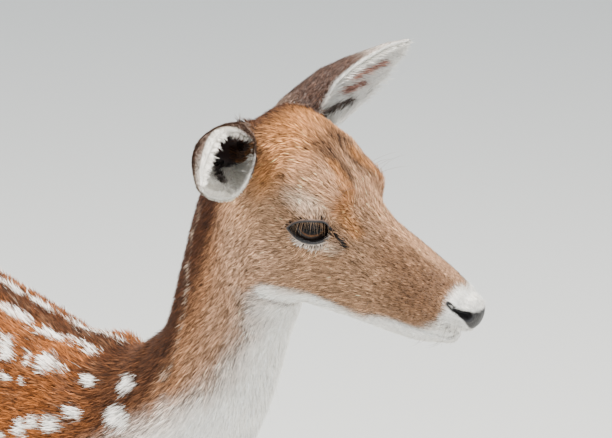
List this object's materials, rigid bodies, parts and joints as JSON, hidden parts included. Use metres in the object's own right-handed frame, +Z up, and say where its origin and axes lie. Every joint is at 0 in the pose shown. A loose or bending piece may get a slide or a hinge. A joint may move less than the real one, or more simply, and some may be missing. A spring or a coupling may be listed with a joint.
{
  "type": "fallow deer",
  "caption": "Standing fallow deer doe at life size, spotted summer coat, head turned to its left, ears spread",
  "frame": {"origin": "on the floor, under the middle of the whole animal's bounding box", "axes": "+X the way the body faces, +Y the animal's left, +Z up"},
  "size_m": [1.1138, 0.2796, 1.1226],
  "materials": {
    "body_coat": "short dense russet hair with white spots, pale belly",
    "neck_coat": "short fawn hair, dark nape stripe, white throat",
    "face_coat": "very short fawn hair, bare black nose",
    "tail_coat": "long black hair above, white below",
    "ear_coat": "grey-brown short hair outside, white hair inside",
    "leg_coat": "short fawn hair",
    "eye": "wet, dark brown with a level oval pupil",
    "hoof": "dark horn, satin"
  },
  "bodies": {
    "root": {"trunk": "body_coat", "neck": "neck_coat", "head": "face_coat", "tail": "tail_coat", "ear_left": "ear_coat", "eye_left": "eye", "foreleg_left_upper": "leg_coat", "foreleg_left_lower": "leg_coat", "foreleg_left_hoof_outer": "hoof", "foreleg_left_dewclaw_outer": "hoof", "foreleg_left_hoof_inner": "hoof", "foreleg_left_dewclaw_inner": "hoof", "hindleg_left_upper": "leg_coat", "hindleg_left_lower": "leg_coat", "hindleg_left_hoof_outer": "hoof", "hindleg_left_dewclaw_outer": "hoof", "hindleg_left_hoof_inner": "hoof", "hindleg_left_dewclaw_inner": "hoof", "ear_right": "ear_coat", "eye_right": "eye", "foreleg_right_upper": "leg_coat", "foreleg_right_lower": "leg_coat", "foreleg_right_hoof_outer": "hoof", "foreleg_right_dewclaw_outer": "hoof", "foreleg_right_hoof_inner": "hoof", "foreleg_right_dewclaw_inner": "hoof", "hindleg_right_upper": "leg_coat", "hindleg_right_lower": "leg_coat", "hindleg_right_hoof_outer": "hoof", "hindleg_right_dewclaw_outer": "hoof", "hindleg_right_hoof_inner": "hoof", "hindleg_right_dewclaw_inner": "hoof"}
  },
  "joints": []
}
